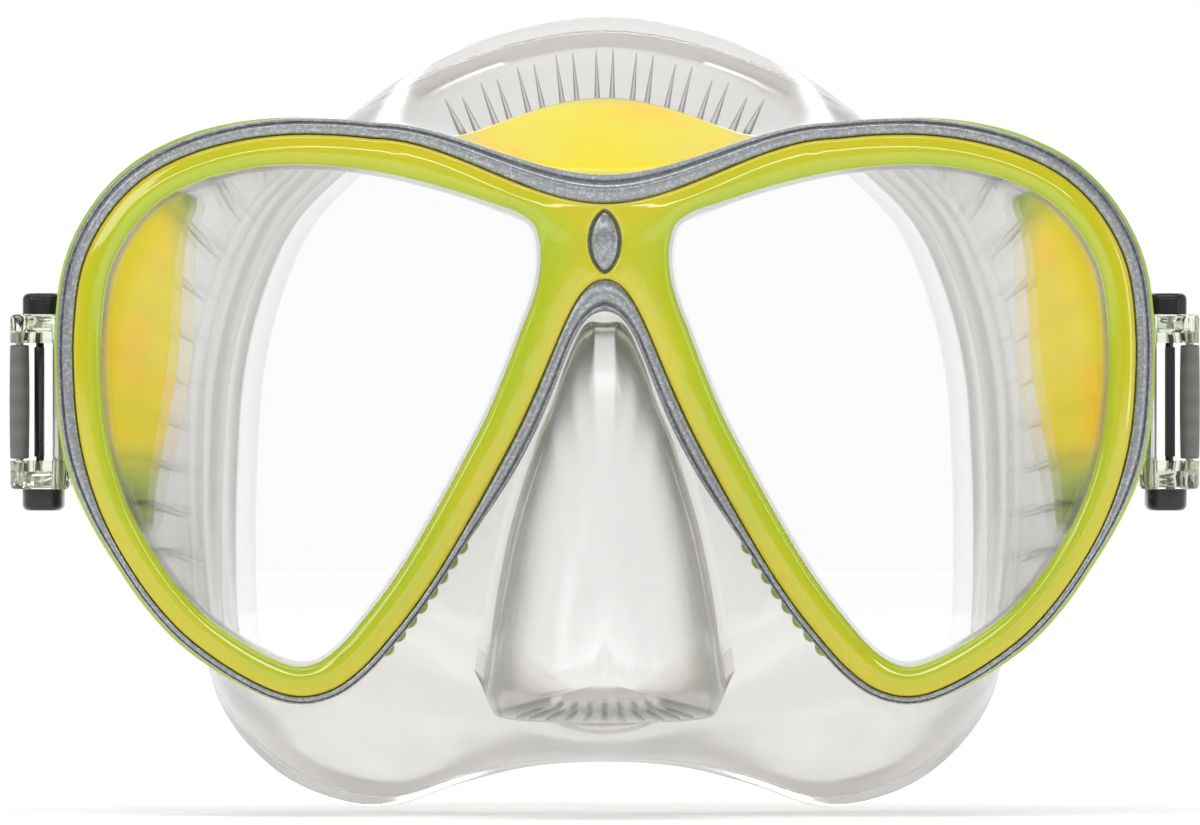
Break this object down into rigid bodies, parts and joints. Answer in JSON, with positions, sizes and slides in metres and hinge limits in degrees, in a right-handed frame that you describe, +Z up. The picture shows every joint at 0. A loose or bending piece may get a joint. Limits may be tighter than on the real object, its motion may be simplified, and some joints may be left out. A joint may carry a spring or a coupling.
{
  "type": "snorkel mask",
  "caption": "Twin-lens diving mask with a clear silicone skirt and nose pocket, swept glass lenses, layered frame, and swivelling quick-release strap buckles.",
  "frame": {"origin": "centre of the sealing rim, on the wearer's centre line, level with the buckles", "axes": "+Z up, the lenses look along -Y, +X is the wearer's left; left and right in names are as seen from the front"},
  "size_m": [0.1782, 0.0759, 0.1202],
  "materials": {
    "bezel_yellow": "glossy moulded translucent yellow polycarbonate",
    "frame_silver": "fine metallic silver paint on moulded plastic",
    "subframe_lime": "glossy translucent lime polycarbonate",
    "lens_glass": "polished clear tempered glass",
    "skirt_silicone": "clear moulded silicone, satin to glossy",
    "insert_yellow": "yellow tinted silicone, soft edges",
    "buckle_clear": "glossy clear polycarbonate",
    "button_black": "glossy black ABS",
    "roller_grey": "satin dark grey acetal",
    "steel": "drawn stainless steel"
  },
  "bodies": {
    "root": {"front_bezel": "bezel_yellow", "main_frame": "frame_silver", "rear_subframe": "subframe_lime", "lens_left": "lens_glass", "lens_right": "lens_glass", "skirt": "skirt_silicone", "brow_insert": "insert_yellow", "side_insert_left": "insert_yellow", "side_insert_right": "insert_yellow", "swivel_pin_left": "steel", "swivel_pin_right": "steel"},
    "buckle_left": {"buckle_body_left": "buckle_clear", "roller_axle_left": "steel", "button_spring_upper_left": "steel", "button_spring_lower_left": "steel"},
    "button_upper_left": {"button_upper_left": "button_black"},
    "button_lower_left": {"button_lower_left": "button_black"},
    "strap_lock_left": {"strap_lock_left": "button_black"},
    "strap_roller_left": {"strap_roller_left": "roller_grey"},
    "buckle_right": {"buckle_body_right": "buckle_clear", "roller_axle_right": "steel", "button_spring_upper_right": "steel", "button_spring_lower_right": "steel"},
    "button_upper_right": {"button_upper_right": "button_black"},
    "button_lower_right": {"button_lower_right": "button_black"},
    "strap_lock_right": {"strap_lock_right": "button_black"},
    "strap_roller_right": {"strap_roller_right": "roller_grey"}
  },
  "joints": [
    {"name": "buckle_swivel_left", "type": "hinge", "parent": "root", "child": "buckle_left", "pos_m": [-0.08181, -0.01949, 0], "axis": [0, 0, 1], "range_deg": [-12, 30]},
    {"name": "button_press_upper_left", "type": "slide", "parent": "buckle_left", "child": "button_upper_left", "axis": [0, 0, -1], "range_m": [0, 0.002], "stiffness_N_per_m": 1500, "springref_m": -0.001, "deforming": ["button_spring_upper_left"]},
    {"name": "button_press_lower_left", "type": "slide", "parent": "buckle_left", "child": "button_lower_left", "axis": [0, 0, 1], "range_m": [0, 0.002], "stiffness_N_per_m": 1500, "springref_m": -0.001, "deforming": ["button_spring_lower_left"]},
    {"name": "strap_lock_turn_left", "type": "hinge", "parent": "buckle_left", "child": "strap_lock_left", "pos_m": [-0.08486, -0.00879, 0], "axis": [0, 0, -1], "range_deg": [0, 10]},
    {"name": "roller_spin_left", "type": "hinge", "parent": "buckle_left", "child": "strap_roller_left", "pos_m": [-0.08756, -0.01949, 0], "axis": [0, 0, 1], "continuous": true},
    {"name": "buckle_swivel_right", "type": "hinge", "parent": "root", "child": "buckle_right", "pos_m": [0.08181, -0.01949, 0], "axis": [0, 0, -1], "range_deg": [-12, 30]},
    {"name": "button_press_upper_right", "type": "slide", "parent": "buckle_right", "child": "button_upper_right", "axis": [0, 0, -1], "range_m": [0, 0.002], "stiffness_N_per_m": 1500, "springref_m": -0.001, "deforming": ["button_spring_upper_right"]},
    {"name": "button_press_lower_right", "type": "slide", "parent": "buckle_right", "child": "button_lower_right", "axis": [0, 0, 1], "range_m": [0, 0.002], "stiffness_N_per_m": 1500, "springref_m": -0.001, "deforming": ["button_spring_lower_right"]},
    {"name": "strap_lock_turn_right", "type": "hinge", "parent": "buckle_right", "child": "strap_lock_right", "pos_m": [0.08486, -0.00879, 0], "axis": [0, 0, 1], "range_deg": [0, 10]},
    {"name": "roller_spin_right", "type": "hinge", "parent": "buckle_right", "child": "strap_roller_right", "pos_m": [0.08756, -0.01949, 0], "axis": [0, 0, 1], "continuous": true}
  ],
  "couplings": [
    {"joint": "strap_lock_turn_left", "follows": "button_press_upper_left", "rad_per_m": 87.2},
    {"joint": "strap_lock_turn_right", "follows": "button_press_upper_right", "rad_per_m": 87.2}
  ]
}
